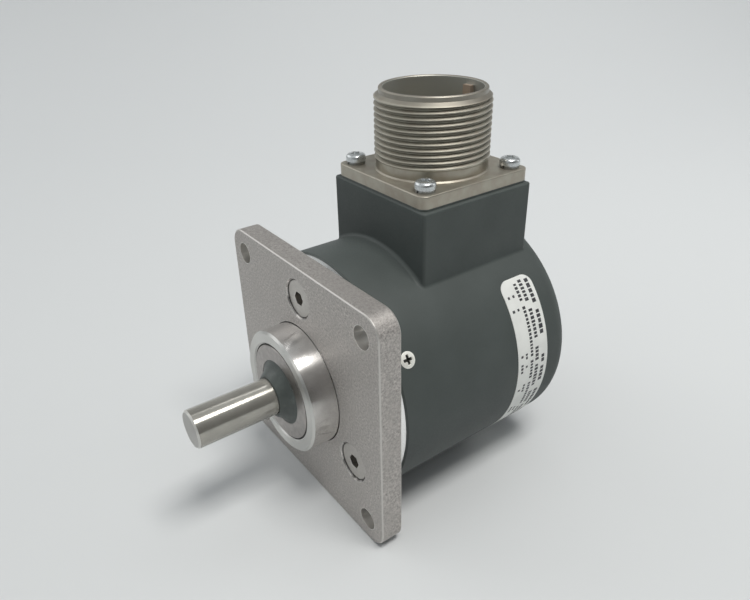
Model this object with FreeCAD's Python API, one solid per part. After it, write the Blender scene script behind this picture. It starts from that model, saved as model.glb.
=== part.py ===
"""Incremental optical rotary encoder with a square flange and a threaded circular connector.

Millimetres. +Z up towards the connector, shaft pointing to -Y. The origin is the centre of
the flange's mounting face, on the shaft axis. Each sub-part is one STEP file in parts/.
"""
import FreeCAD, Part
import math
import os

# ---------------------------------------------------------------- driving dimensions

# Square mounting flange
FLANGE_HALF = 32.3             # half of the square's side
FLANGE_THICK = 5.9
FLANGE_CORNER_R = 5.0
FLANGE_EDGE_R = 0.45           # tumbled edges
MOUNT_HOLE_PITCH = 52.37       # side of the square of mounting holes
MOUNT_HOLE_R = 2.78
FLANGE_BORE_R = 16.1           # clears the pilot

# Flat-head screws that hold the flange to the housing
PLATE_SCREW_CIRCLE_R = 23.81
PLATE_SCREW_ANGLES = (90.0, 210.0, 330.0)
PLATE_SCREW_HEAD_R = 4.65
PLATE_SCREW_R = 2.41
PLATE_SCREW_HOLE_R = 2.6
PLATE_SCREW_RECESS = 0.5
PLATE_SCREW_HEAD_RIM = 0.15
PLATE_SCREW_LENGTH = 12.7
PLATE_SCREW_HEX = 3.18
CSK_HALF_ANGLE = 41.0          # 82 degree countersink

# Bearing housing
PILOT_R = 15.875
PILOT_LENGTH = 7.2
PILOT_NECK_R = 15.6            # relieved inside the flange
COLLAR_R = 31.3
COLLAR_REAR = 7.85
SPIGOT_R = 29.45
SPIGOT_REAR = 18.5
NOSE_R = 16.5                  # rear boss round the rear bearing
NOSE_REAR = 31.6
SEAL_BORE_R = 12.7
WEB_THICK = 0.96               # web that stops the front bearing
WEB_BORE_R = 9.6
RELIEF_R = 11.5
BEARING_RELIEF = 0.2           # gap behind each bearing's seat
RING_GROOVE_FRONT = 30.0       # retaining ring behind the rear bearing
RING_THICK = 0.85
RING_OUTER_R = 11.8
RING_INNER_R = 10.3
RING_LUG_R = 1.1
RING_LUG_HOLE_R = 0.5
RING_LUG_CIRCLE_R = 9.9
RING_LUG_ANGLES = (-104.0, -76.0)
WAVE_SPRING_INNER_R = 9.8
WAVE_SPRING_OUTER_R = 10.95
WAVE_SPRING_THICK = 0.25

# Shaft and its bearings
SHAFT_R = 4.7625
SHAFT_TIP = -30.5
SHAFT_CHAMFER = 0.45
SHAFT_RELIEF_FRONT = -9.9      # smaller where the seal runs
SHAFT_RELIEF_REAR = 0.6
SHAFT_RELIEF_R = 4.6
SHAFT_SHOULDER_R = 6.2
SHAFT_REAR = 39.2
BEARING_R = 11.1125
BEARING_WIDTH = 7.14
FRONT_BEARING_Y = 0.96         # front face of each bearing
REAR_BEARING_Y = 22.0
BALL_R = 1.984
BALL_COUNT = 7
GROOVE_R = 2.05
INNER_LAND_R = 6.55
OUTER_LAND_R = 9.3
PITCH_R = (SHAFT_R + BEARING_R) / 2
CAGE_INNER_R = 7.25
CAGE_OUTER_R = 8.65
CAGE_HALF_WIDTH = 2.45

# Shaft seal
SEAL_FRONT = -7.1
SEAL_REAR = -0.05
SEAL_SHEET = 0.8
SEAL_WINDOW_R = 8.42
SEAL_GAP = 0.06                # running gap at the lips
BOOT_LENGTH = 2.85             # dust boot in front of the seal's case
SPRING_CIRCLE_R = 6.75         # garter spring
SPRING_WIRE_R = 0.5

# Code disc and its hub
HUB_FRONT = 32.3
HUB_R = 8.0
HUB_FLANGE_R = 9.5
HUB_FLANGE_FRONT = 35.6
DISC_FRONT = 37.6
DISC_THICK = 1.0
DISC_R = 20.0
DISC_HOLE_R = 6.35
HUB_SCREW_Y = 33.9
HUB_SCREW_R = 1.1
HUB_SCREW_ANGLES = (0.0, 120.0)

# Light source and detector
TRACK_R = 17.4                 # radius where the light crosses the disc
HOLDER_REAR = 36.4
HOLDER_TOP = 26.2
HOLDER_FOOT_THICK = 2.6
LED_R = 1.5
LED_DOME_Y = 35.4
LED_SCREW_X = 4.7
LED_SCREW_Z = 24.6
DETECTOR_THICK = 1.4

# Circuit boards
BOARD_R = 28.3
BOARD_THICK = 1.6
SENSOR_BOARD_Y = 41.0
DRIVER_BOARD_Y = 50.0
STANDOFF_CIRCLE_R = 24.3
STANDOFF_ANGLES = (30.0, 150.0, 270.0)
STANDOFF_HEX = 5.5
BOARD_SCREW_R = 1.42
BOARD_HOLE_R = 1.52
BOARD_SCREW_HEAD_R = 2.6
BOARD_SCREW_HEAD_HIGH = 1.8

# Cover
COVER_R = 31.75
COVER_FRONT = 7.9
COVER_REAR = 63.5
COVER_REAR_FILLET = 5.0
COVER_WALL = 2.25
TOWER_HALF_X = 17.85
TOWER_FRONT = 23.65
TOWER_REAR = 57.95
TOWER_TOP = 44.5
TOWER_BORE_R = 14.4
TOWER_EDGE_R = 0.8
TOWER_BASE_FILLET = 1.0
COVER_LIP_CHAMFER = 0.4
COVER_SCREW_Y = 11.55
COVER_SCREW_ANGLES = (31.0, 149.0, 270.0)
COVER_SCREW_HEAD_R = 1.95
COVER_SCREW_R = 1.09
ORING_FRONT = 14.9
ORING_GROOVE_WIDTH = 1.9
ORING_SECTION_R = 0.7
ORING_GROOVE_R = COVER_R - COVER_WALL - 2 * ORING_SECTION_R

# Label
LABEL_FRONT = 43.7
LABEL_REAR = 54.4
LABEL_THICK = 0.12
LABEL_TOP_ANGLE = 45.4
LABEL_END_ANGLE = -100.0
LABEL_CORNER_R = 2.9

# Connector
CONN_Y = 41.0
GASKET_THICK = 0.5
CONN_FLANGE_HALF = 16.9
CONN_FLANGE_THICK = 3.0
FLANGE_BOTTOM_Z = TOWER_TOP + GASKET_THICK
FLANGE_TOP_Z = FLANGE_BOTTOM_Z + CONN_FLANGE_THICK
CONN_CORNER_R = 2.0
CONN_HOLE_OFFSET = 13.49
CONN_HOLE_R = 1.6
CONN_BORE_R = 12.06
CONN_BASE_R = 13.95
CONN_BASE_FLARE = 0.35
CONN_REAR_R = 13.6
CONN_REAR_Z = 38.0
THREAD_R = 14.2
THREAD_DEPTH = 0.78
THREAD_PITCH = 1.411           # 18 threads per inch
THREAD_START_ANGLE = 150.0     # round the connector, from +X towards +Y
THREAD_BOTTOM_Z = 51.2         # lower end of the helical groove
THREAD_TURNS = 9.8
THREAD_NOSE_Z = 66.1           # top of the chamfer above the thread
THREAD_NOSE_HIGH = 0.85
RIM_R = 13.08
RIM_Z = 67.35
KEY_WIDTH = 2.6
KEY_HEIGHT = 1.3
INSERT_BOTTOM_Z = 37.2
INSERT_TOP_Z = 54.0
PIN_R = 0.79
PIN_TIP_Z = 62.6
PIN_CUP_Z = 33.6
PIN_CUP_R = 1.05
PIN_CUP_BORE_R = 0.65
OUTER_PIN_COUNT = 8
OUTER_PIN_CIRCLE_R = 7.9
INNER_PIN_OFFSET = 2.6
CONN_SCREW_R = 1.42
CONN_SCREW_HEAD_R = 2.5
CONN_SCREW_HEAD_HIGH = 1.85
WASHER_R = 2.35
WASHER_THICK = 0.75
WIRE_R = 0.5

X = FreeCAD.Vector(1, 0, 0)
Y = FreeCAD.Vector(0, 1, 0)
Z = FreeCAD.Vector(0, 0, 1)


# ---------------------------------------------------------------- helpers

def vec(x, y, z):
    return FreeCAD.Vector(x, y, z)


def cylinder_y(radius, start, end, x=0.0, z=0.0):
    """Cylinder along +Y from start to end."""
    return Part.makeCylinder(radius, end - start, vec(x, start, z), Y)


def cylinder_z(radius, start, end, x=0.0, y=0.0):
    """Cylinder along +Z from start to end."""
    return Part.makeCylinder(radius, end - start, vec(x, y, start), Z)


def box(x_range, y_range, z_range):
    corner = vec(x_range[0], y_range[0], z_range[0])
    size = (x_range[1] - x_range[0], y_range[1] - y_range[0], z_range[1] - z_range[0])
    return Part.makeBox(size[0], size[1], size[2], corner)


def turned_y(profile):
    """Turned piece on the shaft axis, from (radius, y) corners."""
    corners = [vec(radius, y, 0) for radius, y in profile]
    return Part.Face(Part.makePolygon(corners + corners[:1])).revolve(vec(0, 0, 0), Y, 360)


def turned_z(profile, y=CONN_Y):
    """Turned piece on the connector's axis, from (radius, z) corners."""
    corners = [vec(radius, y, z) for radius, z in profile]
    return Part.Face(Part.makePolygon(corners + corners[:1])).revolve(vec(0, y, 0), Z, 360)


def polar(radius, degrees):
    """X and Z of a point round the shaft axis, from +X towards +Z."""
    angle = math.radians(degrees)
    return radius * math.cos(angle), radius * math.sin(angle)


def hexagon_y(across_flats, start, end, x, z):
    """Hexagonal prism along +Y."""
    corner_r = across_flats / math.sqrt(3)
    corners = []
    for i in range(6):
        dx, dz = polar(corner_r, 60 * i)
        corners.append(vec(x + dx, start, z + dz))
    face = Part.Face(Part.makePolygon(corners + corners[:1]))
    return face.extrude(vec(0, end - start, 0))


def rounded_square(half_x, half_y, corner_r, bottom, top, y):
    """Upright block about (0, y) with rounded corners."""
    block = box((-half_x, half_x), (y - half_y, y + half_y), (bottom, top))
    upright = [e for e in block.Edges if abs(e.tangentAt(e.FirstParameter).z) > 0.99]
    return block.makeFillet(corner_r, upright)


def outward(solid, degrees, y):
    """Turn a solid built along +Z so that it points out from the shaft axis at y."""
    placed = solid.copy()
    placed.rotate(vec(0, 0, 0), Y, 90 - degrees)
    placed.translate(vec(0, y, 0))
    return placed


def group(solids):
    return Part.makeCompound(solids)


def screw_places(circle_r, angles):
    return [polar(circle_r, degrees) for degrees in angles]


def connector_corners():
    signs = ((1, 1), (-1, 1), (-1, -1), (1, -1))
    return [(sx * CONN_HOLE_OFFSET, CONN_Y + sy * CONN_HOLE_OFFSET) for sx, sy in signs]


def cross_recess(radius, depth, top):
    """Phillips recess: two tapered wings sunk from the height top, along Z."""
    half_width = radius * 0.3
    wings = []
    for wing_x, wing_y in ((radius, half_width), (half_width, radius)):
        upper = Part.makePolygon([vec(sx * wing_x, sy * wing_y, top + 0.01)
                                  for sx, sy in ((1, 1), (-1, 1), (-1, -1), (1, -1), (1, 1))])
        shrink = 0.45
        lower = Part.makePolygon([vec(sx * wing_x * shrink, sy * wing_y * shrink, top - depth)
                                  for sx, sy in ((1, 1), (-1, 1), (-1, -1), (1, -1), (1, 1))])
        wings.append(Part.makeLoft([lower, upper], True, True))
    return wings[0].fuse(wings[1])


def pan_screw(head_r, head_high, shank_r, shank_length):
    """Pan-head Phillips screw along Z, seated at z = 0, shank downwards."""
    crown_r = 4 * head_r           # slight crown on top
    crown_drop = crown_r - math.sqrt(crown_r ** 2 - head_r ** 2)
    shoulder = 0.5 * head_high
    dome = Part.makeSphere(crown_r, vec(0, 0, head_high - crown_r))
    head = Part.makeCylinder(head_r, head_high).common(dome)
    rim = [e for e in head.Edges
           if e.Length > 6 * head_r and abs(e.BoundBox.ZMin - (head_high - crown_drop)) < 0.01]
    head = head.makeFillet(shoulder, rim)
    head = head.cut(cross_recess(head_r * 0.56, head_high * 0.62, head_high))
    return head.fuse(Part.makeCylinder(shank_r, shank_length + 0.3, vec(0, 0, -shank_length)))


# ---------------------------------------------------------------- flange and housing

def flange_plate():
    side = 2 * FLANGE_HALF
    block = Part.makeBox(side, FLANGE_THICK, side, vec(-FLANGE_HALF, 0, -FLANGE_HALF))
    corners = [e for e in block.Edges if abs(e.tangentAt(e.FirstParameter).y) > 0.99]
    block = block.makeFillet(FLANGE_CORNER_R, corners)
    rims = [e for e in block.Edges
            if abs(e.BoundBox.YMax - e.BoundBox.YMin) < 0.01]
    plate = block.makeFillet(FLANGE_EDGE_R, rims)
    plate = plate.cut(cylinder_y(FLANGE_BORE_R, -1, FLANGE_THICK + 1))
    half_pitch = MOUNT_HOLE_PITCH / 2
    for sx, sz in ((1, 1), (-1, 1), (-1, -1), (1, -1)):
        hole = cylinder_y(MOUNT_HOLE_R, -1, FLANGE_THICK + 1, sx * half_pitch, sz * half_pitch)
        plate = plate.cut(hole)
    for x, z in screw_places(PLATE_SCREW_CIRCLE_R, PLATE_SCREW_ANGLES):
        sink = turned_y(countersink_profile())
        sink.translate(vec(x, 0, z))
        plate = plate.cut(sink)
    return plate


def countersink_profile():
    """Hole for a plate screw: a cone from the face down to the clearance hole."""
    slope = math.tan(math.radians(CSK_HALF_ANGLE))
    seat = PLATE_SCREW_RECESS + PLATE_SCREW_HEAD_RIM
    mouth_r = PLATE_SCREW_HEAD_R + (seat + 1) * slope
    cone_end = seat + (PLATE_SCREW_HEAD_R - PLATE_SCREW_HOLE_R) / slope
    return [(0, -1), (mouth_r, -1), (PLATE_SCREW_HOLE_R, cone_end),
            (PLATE_SCREW_HOLE_R, FLANGE_THICK + 1), (0, FLANGE_THICK + 1)]


def flange_screws():
    """Flat-head hex-socket screws, their heads a little below the mounting face."""
    slope = math.tan(math.radians(CSK_HALF_ANGLE))
    top = PLATE_SCREW_RECESS
    cone_top = top + PLATE_SCREW_HEAD_RIM
    cone_end = cone_top + (PLATE_SCREW_HEAD_R - PLATE_SCREW_R) / slope
    end = top + PLATE_SCREW_LENGTH
    tip = 0.5
    edge = 0.08
    profile = [(0, top), (PLATE_SCREW_HEAD_R - edge, top), (PLATE_SCREW_HEAD_R, top + edge),
               (PLATE_SCREW_HEAD_R, cone_top), (PLATE_SCREW_R, cone_end),
               (PLATE_SCREW_R, end - tip), (PLATE_SCREW_R - tip, end), (0, end)]
    socket = hexagon_y(PLATE_SCREW_HEX, top - 1, top + 2.2, 0, 0)
    screw = turned_y(profile).cut(socket)
    screws = []
    for x, z in screw_places(PLATE_SCREW_CIRCLE_R, PLATE_SCREW_ANGLES):
        placed = screw.copy()
        placed.translate(vec(x, 0, z))
        screws.append(placed)
    return group(screws)


def bearing_housing():
    """Turned housing: pilot, collar, spigot for the cover and a boss for the rear bearing."""
    edge = 0.35
    pilot_chamfer = 0.5
    relief_front = FRONT_BEARING_Y + BEARING_WIDTH + BEARING_RELIEF
    relief_rear = REAR_BEARING_Y - BEARING_RELIEF
    profile = [
        (SEAL_BORE_R, SEAL_REAR + 0.05), (SEAL_BORE_R, edge - PILOT_LENGTH),
        (SEAL_BORE_R + edge, -PILOT_LENGTH), (PILOT_R - pilot_chamfer, -PILOT_LENGTH),
        (PILOT_R, pilot_chamfer - PILOT_LENGTH), (PILOT_R, 0), (PILOT_NECK_R, 0.25),
        (PILOT_NECK_R, FLANGE_THICK), (COLLAR_R - edge, FLANGE_THICK),
        (COLLAR_R, FLANGE_THICK + edge), (COLLAR_R, COLLAR_REAR), (SPIGOT_R, COLLAR_REAR),
        (SPIGOT_R, ORING_FRONT), (ORING_GROOVE_R, ORING_FRONT),
        (ORING_GROOVE_R, ORING_FRONT + ORING_GROOVE_WIDTH),
        (SPIGOT_R, ORING_FRONT + ORING_GROOVE_WIDTH), (SPIGOT_R, SPIGOT_REAR - edge),
        (SPIGOT_R - edge, SPIGOT_REAR), (NOSE_R, SPIGOT_REAR), (NOSE_R, NOSE_REAR),
        (BEARING_R, NOSE_REAR), (BEARING_R, RING_GROOVE_FRONT + RING_THICK),
        (RING_OUTER_R, RING_GROOVE_FRONT + RING_THICK), (RING_OUTER_R, RING_GROOVE_FRONT),
        (BEARING_R, RING_GROOVE_FRONT), (BEARING_R, relief_rear), (RELIEF_R, relief_rear),
        (RELIEF_R, relief_front), (BEARING_R, relief_front), (BEARING_R, WEB_THICK),
        (WEB_BORE_R, WEB_THICK), (WEB_BORE_R, SEAL_REAR + 0.05)]
    housing = turned_y(profile)
    screw_end = PLATE_SCREW_RECESS + PLATE_SCREW_LENGTH
    for x, z in screw_places(PLATE_SCREW_CIRCLE_R, PLATE_SCREW_ANGLES):
        housing = housing.cut(cylinder_y(PLATE_SCREW_R, FLANGE_THICK - 1, screw_end + 0.4, x, z))
    for x, z in screw_places(STANDOFF_CIRCLE_R, STANDOFF_ANGLES):
        housing = housing.cut(cylinder_y(BOARD_SCREW_R, SPIGOT_REAR - 4.3, SPIGOT_REAR + 1, x, z))
    for x in (-LED_SCREW_X, LED_SCREW_X):
        housing = housing.cut(cylinder_y(BOARD_SCREW_R, SPIGOT_REAR - 3.4, SPIGOT_REAR + 1,
                                         x, LED_SCREW_Z))
    tapped = Part.makeCylinder(COVER_SCREW_R, 6, vec(0, 0, SPIGOT_R - 5))
    for degrees in COVER_SCREW_ANGLES:
        housing = housing.cut(outward(tapped, degrees, COVER_SCREW_Y))
    return housing


def cover_oring():
    """O-ring in the spigot's groove, squeezed against the inside of the cover."""
    middle = vec(0, ORING_FRONT + ORING_GROOVE_WIDTH / 2, 0)
    return Part.makeTorus(ORING_GROOVE_R + ORING_SECTION_R, ORING_SECTION_R, middle, Y)


# ---------------------------------------------------------------- shaft, seal, bearings

def shaft():
    """Ground shaft with a shoulder between its two bearings."""
    shoulder_front = FRONT_BEARING_Y + BEARING_WIDTH
    return turned_y([
        (0, SHAFT_TIP), (SHAFT_R - SHAFT_CHAMFER, SHAFT_TIP), (SHAFT_R, SHAFT_TIP + SHAFT_CHAMFER),
        (SHAFT_R, SHAFT_RELIEF_FRONT), (SHAFT_RELIEF_R, SHAFT_RELIEF_FRONT + 0.15),
        (SHAFT_RELIEF_R, SHAFT_RELIEF_REAR), (SHAFT_R, SHAFT_RELIEF_REAR),
        (SHAFT_R, shoulder_front),
        (SHAFT_SHOULDER_R, shoulder_front), (SHAFT_SHOULDER_R, REAR_BEARING_Y),
        (SHAFT_R, REAR_BEARING_Y), (SHAFT_R, SHAFT_REAR - SHAFT_CHAMFER),
        (SHAFT_R - SHAFT_CHAMFER, SHAFT_REAR), (0, SHAFT_REAR)])


def seal_case():
    """Pressed metal cup of the shaft seal."""
    wall_r = SEAL_BORE_R - SEAL_SHEET
    corner = 0.5
    return turned_y([
        (SEAL_WINDOW_R, SEAL_FRONT), (SEAL_BORE_R - corner, SEAL_FRONT),
        (SEAL_BORE_R, SEAL_FRONT + corner), (SEAL_BORE_R, SEAL_REAR), (wall_r, SEAL_REAR),
        (wall_r, SEAL_FRONT + SEAL_SHEET), (SEAL_WINDOW_R, SEAL_FRONT + SEAL_SHEET)])


def seal_lip():
    """Rubber body of the seal: a conical dust boot in front and a sprung sealing lip."""
    wall_r = SEAL_BORE_R - SEAL_SHEET
    lip_r = SHAFT_RELIEF_R + SEAL_GAP
    sheet_rear = SEAL_FRONT + SEAL_SHEET
    boot_tip = SEAL_FRONT - BOOT_LENGTH
    body = turned_y([
        (wall_r, sheet_rear), (SEAL_WINDOW_R, sheet_rear), (SEAL_WINDOW_R, SEAL_FRONT + 0.1),
        (8.2, SEAL_FRONT), (7.5, SEAL_FRONT - 0.35), (6.8, SEAL_FRONT - 0.95),
        (6.2, SEAL_FRONT - 1.65), (5.65, SEAL_FRONT - 2.4), (5.3, boot_tip + 0.08),
        (5.05, boot_tip), (lip_r, boot_tip + 0.2), (lip_r, boot_tip + 0.6),
        (5.35, SEAL_FRONT - 1.3), (5.9, SEAL_FRONT), (5.9, SEAL_FRONT + 3.4),
        (lip_r, SEAL_FRONT + 4.4),
        (lip_r + 0.5, SEAL_FRONT + 5.2), (6.9, SEAL_FRONT + 5.2), (6.9, SEAL_FRONT + 2.2),
        (wall_r, SEAL_FRONT + 2.2)])
    return body.cut(seal_spring())


def seal_spring():
    """Garter spring round the sealing lip, as a plain ring."""
    return Part.makeTorus(SPRING_CIRCLE_R, SPRING_WIRE_R, vec(0, SEAL_FRONT + 4.3, 0), Y)


def race_groove(front):
    return Part.makeTorus(PITCH_R, GROOVE_R, vec(0, front + BEARING_WIDTH / 2, 0), Y)


def bearing_ring(inner_r, outer_r, front):
    """One ring of a ball bearing, with its ball groove."""
    edge = 0.3
    rear = front + BEARING_WIDTH
    ring = turned_y([
        (inner_r + edge, front), (outer_r - edge, front), (outer_r, front + edge),
        (outer_r, rear - edge), (outer_r - edge, rear), (inner_r + edge, rear),
        (inner_r, rear - edge), (inner_r, front + edge)])
    return ring.cut(race_groove(front))


def outer_ring(front):
    return bearing_ring(OUTER_LAND_R, BEARING_R, front)


def inner_ring(front):
    return bearing_ring(SHAFT_R, INNER_LAND_R, front)


def ball_places(front):
    middle = front + BEARING_WIDTH / 2
    places = []
    for i in range(BALL_COUNT):
        x, z = polar(PITCH_R, 360 * i / BALL_COUNT)
        places.append(vec(x, middle, z))
    return places


def balls(front):
    return group([Part.makeSphere(BALL_R, place) for place in ball_places(front)])


def ball_cage(front):
    """Ring with a pocket for each ball."""
    middle = front + BEARING_WIDTH / 2
    front_face = middle - CAGE_HALF_WIDTH
    rear_face = middle + CAGE_HALF_WIDTH
    cage = cylinder_y(CAGE_OUTER_R, front_face, rear_face)
    cage = cage.cut(cylinder_y(CAGE_INNER_R, front_face - 1, rear_face + 1))
    pocket = Part.makeCylinder(BALL_R + 0.05, 5, vec(0, 0, PITCH_R - 2.5))
    for i in range(BALL_COUNT):
        cage = cage.cut(outward(pocket, 360 * i / BALL_COUNT, middle))
    return cage


def bearing_shields(front):
    """Thin sheet ring at each side of the balls, fixed in the outer ring."""
    inset = 0.4
    thick = 0.3
    shields = []
    for start in (front + inset, front + BEARING_WIDTH - inset - thick):
        disc = cylinder_y(OUTER_LAND_R, start, start + thick)
        shields.append(disc.cut(cylinder_y(INNER_LAND_R + 0.15, start - 1, start + thick + 1)))
    return group(shields)


def wave_spring():
    """Preload spring behind the rear bearing: a thin ring bent into three waves."""
    start = REAR_BEARING_Y + BEARING_WIDTH
    gap = RING_GROOVE_FRONT - start
    waves = 3
    samples = 36
    middle = start + (gap - WAVE_SPRING_THICK) / 2
    swing = (gap - WAVE_SPRING_THICK) / 2 - 0.01

    def rim(radius, lift):
        points = []
        for i in range(samples):
            angle = 2 * math.pi * i / samples
            y = middle + lift + swing * math.cos(waves * angle)
            points.append(vec(radius * math.cos(angle), y, radius * math.sin(angle)))
        curve = Part.BSplineCurve()
        curve.interpolate(points, PeriodicFlag=True)
        return Part.Wire([curve.toShape()])

    inner_front = rim(WAVE_SPRING_INNER_R, 0)
    outer_front = rim(WAVE_SPRING_OUTER_R, 0)
    outer_rear = rim(WAVE_SPRING_OUTER_R, WAVE_SPRING_THICK)
    inner_rear = rim(WAVE_SPRING_INNER_R, WAVE_SPRING_THICK)
    loop = (inner_front, outer_front, outer_rear, inner_rear, inner_front)
    faces = []
    for first, second in zip(loop, loop[1:]):
        faces.extend(Part.makeRuledSurface(first, second).Faces)
    spring = Part.makeSolid(Part.makeShell(faces))
    if spring.Volume < 0:
        spring.reverse()
    return spring


def retaining_ring():
    """Internal retaining ring with two lugs that face each other over a gap."""
    start = RING_GROOVE_FRONT
    end = start + RING_THICK
    ring = cylinder_y(RING_OUTER_R, start, end)
    ring = ring.cut(cylinder_y(RING_INNER_R, start - 1, end + 1))
    for x, z in screw_places(RING_LUG_CIRCLE_R, RING_LUG_ANGLES):
        ring = ring.fuse(cylinder_y(RING_LUG_R, start, end, x, z))
        ring = ring.cut(cylinder_y(RING_LUG_HOLE_R, start - 1, end + 1, x, z))
    gap = box((-1.2, 1.2), (start - 1, end + 1), (-13, -7))
    return ring.cut(gap)


# ---------------------------------------------------------------- disc and optics

def disc_hub():
    nose_end = DISC_FRONT + DISC_THICK
    hub = turned_y([
        (SHAFT_R, HUB_FRONT), (HUB_R, HUB_FRONT), (HUB_R, HUB_FLANGE_FRONT),
        (HUB_FLANGE_R, HUB_FLANGE_FRONT), (HUB_FLANGE_R, DISC_FRONT), (DISC_HOLE_R, DISC_FRONT),
        (DISC_HOLE_R, nose_end), (SHAFT_R, nose_end)])
    tapped = Part.makeCylinder(HUB_SCREW_R, HUB_R, vec(0, 0, SHAFT_R - 0.4))
    for degrees in HUB_SCREW_ANGLES:
        hub = hub.cut(outward(tapped, degrees, HUB_SCREW_Y))
    return hub


def hub_set_screws():
    """Cup-point socket set screws that lock the hub to the shaft."""
    top = HUB_R - 0.35
    screw = Part.makeCylinder(HUB_SCREW_R, top - SHAFT_R, vec(0, 0, SHAFT_R))
    socket = hexagon_y(0.9, 0, 1.3, 0, 0)
    socket.rotate(vec(0, 0, 0), X, 90)
    socket.translate(vec(0, 0, top - 1.2))
    screw = screw.cut(socket)
    return group([outward(screw, degrees, HUB_SCREW_Y) for degrees in HUB_SCREW_ANGLES])


def code_disc():
    end = DISC_FRONT + DISC_THICK
    disc = cylinder_y(DISC_R, DISC_FRONT, end)
    return disc.cut(cylinder_y(DISC_HOLE_R, DISC_FRONT - 1, end + 1))


def light_holder():
    """Bracket from the housing's rear face to in front of the code disc, with a bore for the LED."""
    foot = box((-7.2, 7.2), (SPIGOT_REAR, SPIGOT_REAR + HOLDER_FOOT_THICK), (19.6, 27.6))
    post = box((-2.4, 2.4), (SPIGOT_REAR, HOLDER_REAR), (21.2, HOLDER_TOP))
    head = box((-3.6, 3.6), (NOSE_REAR + 0.6, HOLDER_REAR), (14.2, HOLDER_TOP))
    holder = foot.fuse([post, head]).removeSplitter()
    holder = holder.cut(cylinder_y(LED_R, NOSE_REAR, HOLDER_REAR + 1, 0, TRACK_R))
    for x in (-LED_SCREW_X, LED_SCREW_X):
        holder = holder.cut(cylinder_y(BOARD_HOLE_R, SPIGOT_REAR - 1, SPIGOT_REAR + 4,
                                       x, LED_SCREW_Z))
    return holder


def light_holder_screws():
    screw = pan_screw(2.0, 1.4, BOARD_SCREW_R, 5.6)
    screw.rotate(vec(0, 0, 0), X, -90)
    screws = []
    for x in (-LED_SCREW_X, LED_SCREW_X):
        placed = screw.copy()
        placed.translate(vec(x, SPIGOT_REAR + HOLDER_FOOT_THICK, LED_SCREW_Z))
        screws.append(placed)
    return group(screws)


def led():
    """Domed infrared emitter that shines along +Y through the disc."""
    body = cylinder_y(LED_R, NOSE_REAR + 1.4, LED_DOME_Y, 0, TRACK_R)
    dome = Part.makeSphere(LED_R, vec(0, LED_DOME_Y, TRACK_R))
    return body.fuse(dome)


def photodetector():
    """Detector array on the sensor board, behind the disc."""
    return box((-4.2, 4.2), (SENSOR_BOARD_Y - DETECTOR_THICK, SENSOR_BOARD_Y),
               (TRACK_R - 3.2, TRACK_R + 3.2))


def phase_mask():
    """Glass mask with the quadrature windows, bonded to the detector."""
    rear = SENSOR_BOARD_Y - DETECTOR_THICK
    return box((-3.8, 3.8), (rear - 0.5, rear), (TRACK_R - 2.8, TRACK_R + 2.8))


# ---------------------------------------------------------------- boards

def round_board(start):
    board = cylinder_y(BOARD_R, start, start + BOARD_THICK)
    for x, z in screw_places(STANDOFF_CIRCLE_R, STANDOFF_ANGLES):
        board = board.cut(cylinder_y(BOARD_HOLE_R, start - 1, start + 3, x, z))
    return board


def board_standoffs():
    """Hexagonal standoffs from the housing to the sensor board, each with a threaded stud."""
    standoffs = []
    for x, z in screw_places(STANDOFF_CIRCLE_R, STANDOFF_ANGLES):
        post = hexagon_y(STANDOFF_HEX, SPIGOT_REAR, SENSOR_BOARD_Y, x, z)
        post = post.fuse(cylinder_y(BOARD_SCREW_R, SPIGOT_REAR - 4, SPIGOT_REAR + 1, x, z))
        standoffs.append(post.cut(cylinder_y(BOARD_SCREW_R, SENSOR_BOARD_Y - 7,
                                             SENSOR_BOARD_Y + 1, x, z)))
    return group(standoffs)


def board_spacers():
    """Round spacers between the two boards."""
    start = SENSOR_BOARD_Y + BOARD_THICK
    spacers = []
    for x, z in screw_places(STANDOFF_CIRCLE_R, STANDOFF_ANGLES):
        tube = cylinder_y(2.4, start, DRIVER_BOARD_Y, x, z)
        spacers.append(tube.cut(cylinder_y(BOARD_HOLE_R, start - 1, DRIVER_BOARD_Y + 1, x, z)))
    return group(spacers)


def board_screws():
    """Long pan-head screws through both boards into the standoffs."""
    seat = DRIVER_BOARD_Y + BOARD_THICK
    screw = pan_screw(BOARD_SCREW_HEAD_R, BOARD_SCREW_HEAD_HIGH, BOARD_SCREW_R,
                      seat - SENSOR_BOARD_Y + 6)
    screw.rotate(vec(0, 0, 0), X, -90)
    screws = []
    for x, z in screw_places(STANDOFF_CIRCLE_R, STANDOFF_ANGLES):
        placed = screw.copy()
        placed.translate(vec(x, seat, z))
        screws.append(placed)
    return group(screws)


def board_link_header():
    """Pin header that joins the two boards."""
    return box((-8.9, 8.9), (SENSOR_BOARD_Y + BOARD_THICK, DRIVER_BOARD_Y), (-14.5, -9.4))


def driver_board_parts():
    """Line driver, regulator and capacitors on the rear of the rear board."""
    face = DRIVER_BOARD_Y + BOARD_THICK
    line_driver = box((-5.0, 5.0), (face, face + 1.75), (-3.0, 3.0))
    regulator = box((-16.5, -10.0), (face, face + 2.3), (-3.0, 3.1))
    capacitors = [cylinder_y(3.15, face, face + 5.8, x, -12.0) for x in (-4.0, 4.0)]
    filters = [box((11.0, 14.2), (face, face + 1.3), (z, z + 1.7)) for z in (-6.0, -2.0, 2.0, 6.0)]
    return group([line_driver, regulator] + capacitors + filters)


def sensor_board_parts():
    """Comparators and small parts on the rear of the sensor board."""
    face = SENSOR_BOARD_Y + BOARD_THICK
    comparators = [box((x - 2.5, x + 2.5), (face, face + 1.6), (5.5, 9.5)) for x in (-7.0, 0.0, 7.0)]
    resistors = [box((x - 0.8, x + 0.8), (face, face + 0.5), (0.5, 1.4))
                 for x in (-9.0, -6.0, -3.0, 0.0, 3.0, 6.0, 9.0)]
    return group(comparators + resistors)


# ---------------------------------------------------------------- cover and label

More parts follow.
